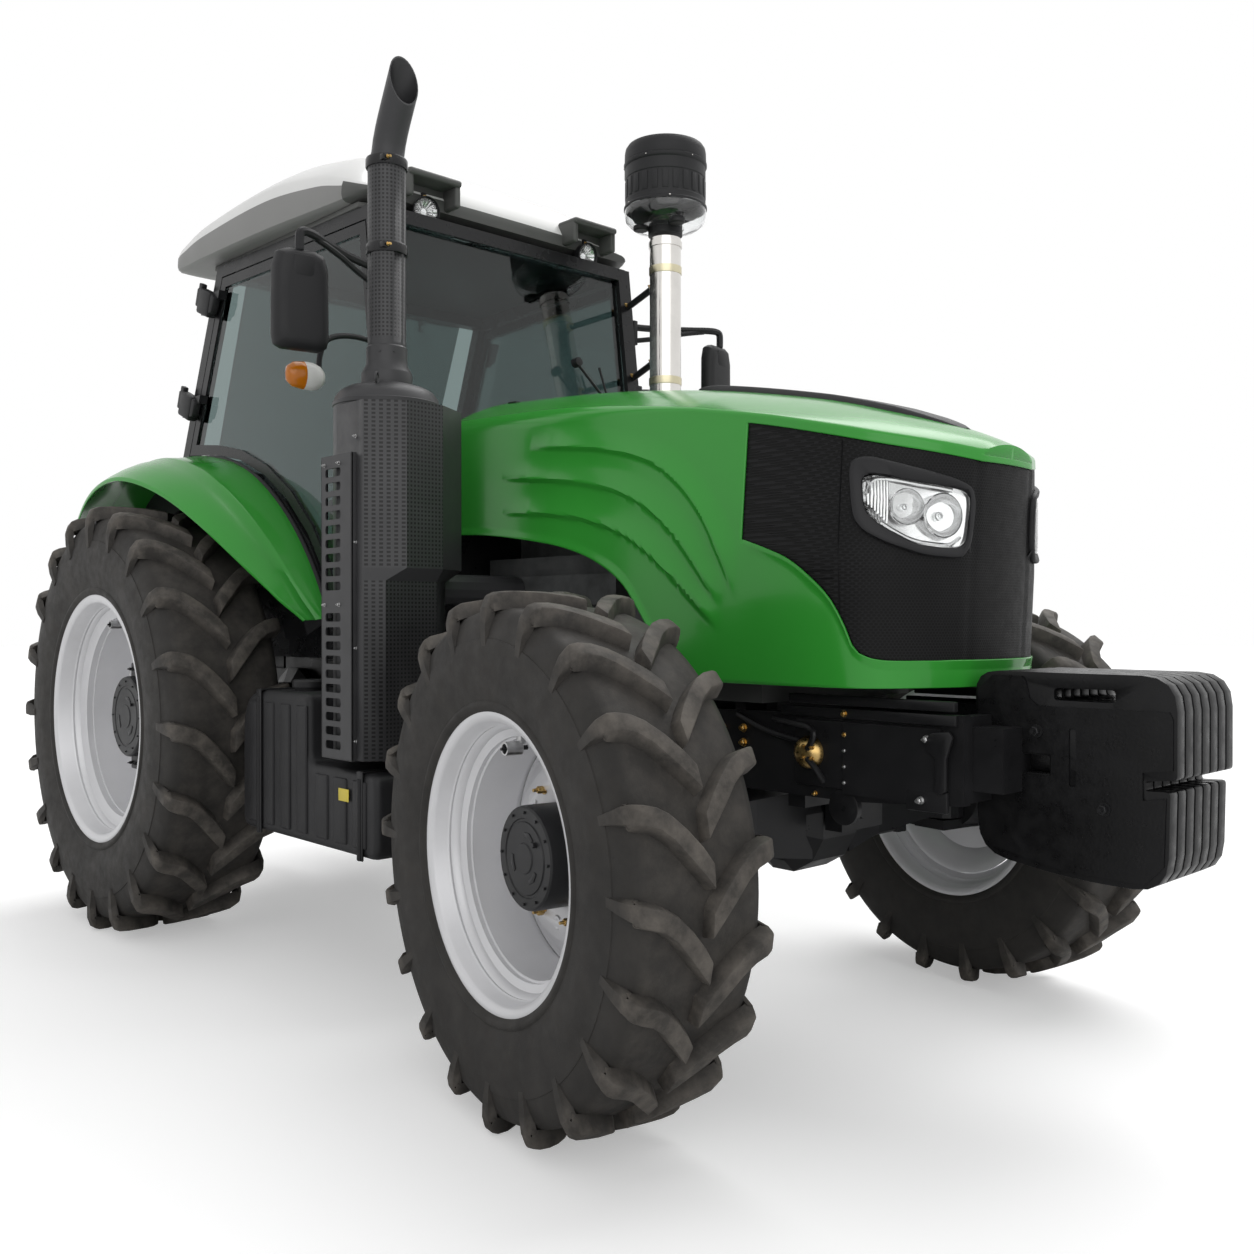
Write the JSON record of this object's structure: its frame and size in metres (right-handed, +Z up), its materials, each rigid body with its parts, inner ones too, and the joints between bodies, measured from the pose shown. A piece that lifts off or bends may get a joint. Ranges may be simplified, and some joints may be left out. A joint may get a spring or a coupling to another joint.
{
  "type": "farm tractor",
  "caption": "Four-wheel-drive farm tractor with closed cab, lugged tyres, opening hood, ballast weights, steering front axle and rear three-point hitch.",
  "frame": {"origin": "on the ground under the middle of the overall length and width", "axes": "+X forward, +Y to the left, +Z up"},
  "size_m": [5.0676, 2.4994, 3.2146],
  "materials": {
    "tyre_rubber": "matte",
    "rim_silver": "satin",
    "green_paint": "gloss",
    "white_paint": "gloss",
    "grey_plastic": "matte",
    "black_satin": "satin",
    "black_paint": "satin",
    "cast_black": "satin",
    "black_plastic": "matte",
    "seat_fabric": "matte",
    "glass": "gloss",
    "clear_lens": "gloss",
    "red_lens": "gloss",
    "steel_tube": "satin",
    "bright_steel": "satin"
  },
  "bodies": {
    "chassis": {"rear_axle_housing": "cast_black", "engine": "cast_black", "radiator": "black_plastic", "front_frame": "black_paint", "front_axle": "black_paint", "front_weights": "cast_black", "cab_frame": "black_paint", "cab_floor": "black_paint", "windshield": "glass", "roof": "white_paint", "roof_visor": "grey_plastic", "work_lamps": "clear_lens", "rear_lamps": "red_lens", "seat": "seat_fabric", "seat_base": "black_plastic", "dash": "black_plastic", "fenders": "green_paint", "muffler": "black_satin", "heat_shield": "black_satin", "exhaust_stack": "black_satin", "intake_stack": "steel_tube", "precleaner": "black_plastic", "fuel_tank": "black_plastic", "battery_box": "black_plastic", "mirrors": "black_plastic", "drawbar": "black_paint", "hitch_bracket": "black_paint"},
    "hood_body": {"hood": "green_paint", "grille": "black_plastic", "headlight_bezels": "black_plastic", "headlight_lenses": "clear_lens"},
    "door_right_body": {"door_right": "black_paint", "door_glass_right": "glass"},
    "door_left_body": {"door_left": "black_paint", "door_glass_left": "glass"},
    "rear_window_body": {"rear_window": "glass"},
    "knuckle_right_body": {"knuckle_right": "black_paint"},
    "knuckle_left_body": {"knuckle_left": "black_paint"},
    "tie_rod_body": {"tie_rod": "black_paint"},
    "wheel_front_right": {"tyre_front_right": "tyre_rubber", "rim_front_right": "rim_silver", "hub_front_right": "black_paint"},
    "wheel_front_left": {"tyre_front_left": "tyre_rubber", "rim_front_left": "rim_silver", "hub_front_left": "black_paint"},
    "wheel_rear_right": {"tyre_rear_right": "tyre_rubber", "rim_rear_right": "rim_silver", "hub_rear_right": "black_paint"},
    "wheel_rear_left": {"tyre_rear_left": "tyre_rubber", "rim_rear_left": "rim_silver", "hub_rear_left": "black_paint"},
    "steering_wheel_body": {"steering_wheel": "black_plastic"},
    "pto_body": {"pto_shaft": "bright_steel"},
    "lift_arms_body": {"lift_arms": "black_paint"},
    "lift_rods_body": {"lift_rods": "black_paint"},
    "lower_links_body": {"lower_links": "black_paint"},
    "top_link_body": {"top_link": "black_paint"}
  },
  "joints": [
    {"name": "steer_right", "type": "hinge", "parent": "chassis", "child": "knuckle_right_body", "pos_m": [1.271, -0.8, 0.675], "axis": [0, 0, 1], "range_deg": [-26.7, 43.3]},
    {"name": "steer_left", "type": "hinge", "parent": "chassis", "child": "knuckle_left_body", "pos_m": [1.271, 0.8, 0.675], "axis": [0, 0, 1], "range_deg": [-26.7, 43.3]},
    {"name": "tie_rod_pin", "type": "hinge", "parent": "knuckle_right_body", "child": "tie_rod_body", "pos_m": [1.0632, -0.76968, 0.54], "axis": [0, 0, 1], "range_deg": [-43.3, 26.7]},
    {"name": "spin_front_right", "type": "hinge", "parent": "knuckle_right_body", "child": "wheel_front_right", "pos_m": [1.24487, -0.9791, 0.675], "axis": [0.1444, 0.9895, 0], "continuous": true},
    {"name": "spin_front_left", "type": "hinge", "parent": "knuckle_left_body", "child": "wheel_front_left", "pos_m": [1.29713, 0.9791, 0.675], "axis": [0.1444, 0.9895, 0], "continuous": true},
    {"name": "spin_rear_right", "type": "hinge", "parent": "chassis", "child": "wheel_rear_right", "pos_m": [-1.475, -0.965, 0.875], "axis": [0, 1, 0], "continuous": true},
    {"name": "spin_rear_left", "type": "hinge", "parent": "chassis", "child": "wheel_rear_left", "pos_m": [-1.475, 0.965, 0.875], "axis": [0, 1, 0], "continuous": true},
    {"name": "hood_hinge", "type": "hinge", "parent": "chassis", "child": "hood_body", "pos_m": [0.055, 0, 2.062], "axis": [0, -1, 0], "range_deg": [0, 45]},
    {"name": "door_right_hinge", "type": "hinge", "parent": "chassis", "child": "door_right_body", "pos_m": [-1.52828, -0.75042, 2.217], "axis": [-0.3764, -0.0237, -0.9262], "range_deg": [0, 72]},
    {"name": "door_left_hinge", "type": "hinge", "parent": "chassis", "child": "door_left_body", "pos_m": [-1.52828, 0.75042, 2.217], "axis": [0.3764, -0.0237, 0.9262], "range_deg": [0, 72]},
    {"name": "rear_window_hinge", "type": "hinge", "parent": "chassis", "child": "rear_window_body", "pos_m": [-1.373, 0, 2.778], "axis": [0, 1, 0], "range_deg": [0, 35]},
    {"name": "steering_wheel_turn", "type": "hinge", "parent": "chassis", "child": "steering_wheel_body", "pos_m": [-0.415, 0, 1.905], "axis": [-0.5052, 0, 0.863], "range_deg": [-720, 720]},
    {"name": "pto_spin", "type": "hinge", "parent": "chassis", "child": "pto_body", "pos_m": [-2.035, 0, 0.7], "axis": [-1, 0, 0], "continuous": true},
    {"name": "hitch_lift", "type": "hinge", "parent": "chassis", "child": "lift_arms_body", "pos_m": [-1.805, 0, 1.165], "axis": [0, 1, 0], "range_deg": [-15, 40]},
    {"name": "lift_rod_pins", "type": "hinge", "parent": "lift_arms_body", "child": "lift_rods_body", "pos_m": [-2.1252, 0, 1.08517], "axis": [0, 1, 0], "range_deg": [-40, 15]},
    {"name": "lower_link_pins", "type": "hinge", "parent": "chassis", "child": "lower_links_body", "pos_m": [-1.805, 0, 0.56], "axis": [0, 1, 0], "range_deg": [-15, 40]},
    {"name": "top_link_pin", "type": "hinge", "parent": "chassis", "child": "top_link_body", "pos_m": [-1.975, 0, 0.96], "axis": [0, 1, 0], "range_deg": [-30, 40]}
  ],
  "couplings": [
    {"joint": "steer_left", "follows": "steer_right", "ratio": 1},
    {"joint": "tie_rod_pin", "follows": "steer_right", "ratio": -1},
    {"joint": "lower_link_pins", "follows": "hitch_lift", "ratio": 1},
    {"joint": "lift_rod_pins", "follows": "hitch_lift", "ratio": -1}
  ]
}
